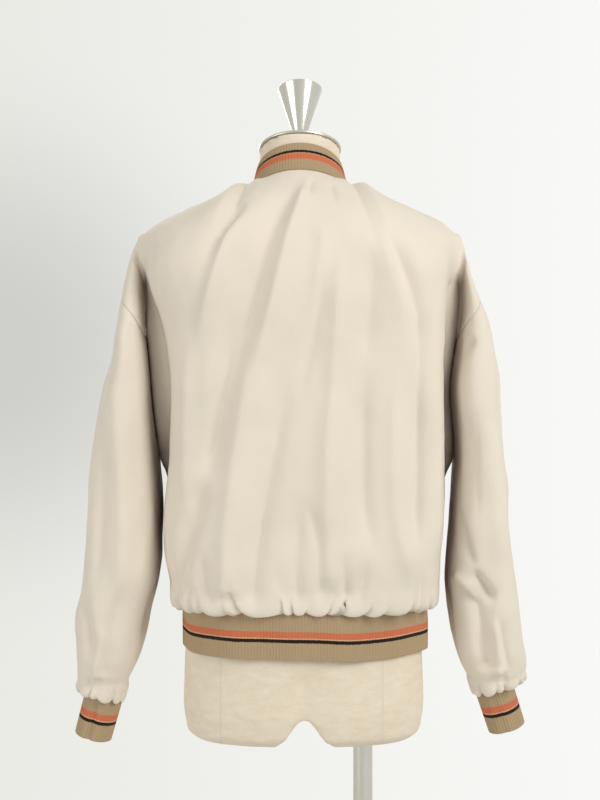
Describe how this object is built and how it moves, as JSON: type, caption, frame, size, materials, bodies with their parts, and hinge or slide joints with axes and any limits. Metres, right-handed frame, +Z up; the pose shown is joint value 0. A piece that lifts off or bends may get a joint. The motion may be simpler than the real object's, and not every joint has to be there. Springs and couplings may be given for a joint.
{
  "type": "monkey jacket on a limbless dress form",
  "caption": "Waist-length zip blouson with striped rib collar, cuffs and hem band, hung on a limbless dress form with a steel neck cap, finial, pole and round base.",
  "frame": {"origin": "middle of the base plate's underside, on the floor", "axes": "+Z up, -Y towards the front of the jacket, +X towards the wearer's left"},
  "size_m": [0.6282, 0.36, 1.5285],
  "materials": {
    "cloth": "light woven cloth, cream beige, soft dull sheen",
    "knit": "ribbed knit, tan with an orange and a black-brown stripe",
    "linen": "linen cover of the form, matt",
    "steel": "satin",
    "brass": "antique, satin",
    "tape": "zip chain and tape"
  },
  "bodies": {
    "jacket_and_form": {"back": "cloth", "front_left": "cloth", "front_right": "cloth", "sleeve_left": "cloth", "sleeve_right": "cloth", "collar": "knit", "hem_band": "knit", "cuff_left": "knit", "cuff_right": "knit", "zip": "tape", "zip_slider": "brass", "dress_form": "linen", "neck_cap": "steel", "finial": "steel", "pole": "steel", "pole_socket": "steel", "base_plate": "steel"},
    "pull_tab": {"pull_tab": "brass"}
  },
  "joints": [
    {"name": "pull_tab_swing", "type": "hinge", "parent": "jacket_and_form", "child": "pull_tab", "pos_m": [0, -0.08193, 1.32519], "axis": [-1, 0, 0], "range_deg": [0, 140]}
  ]
}
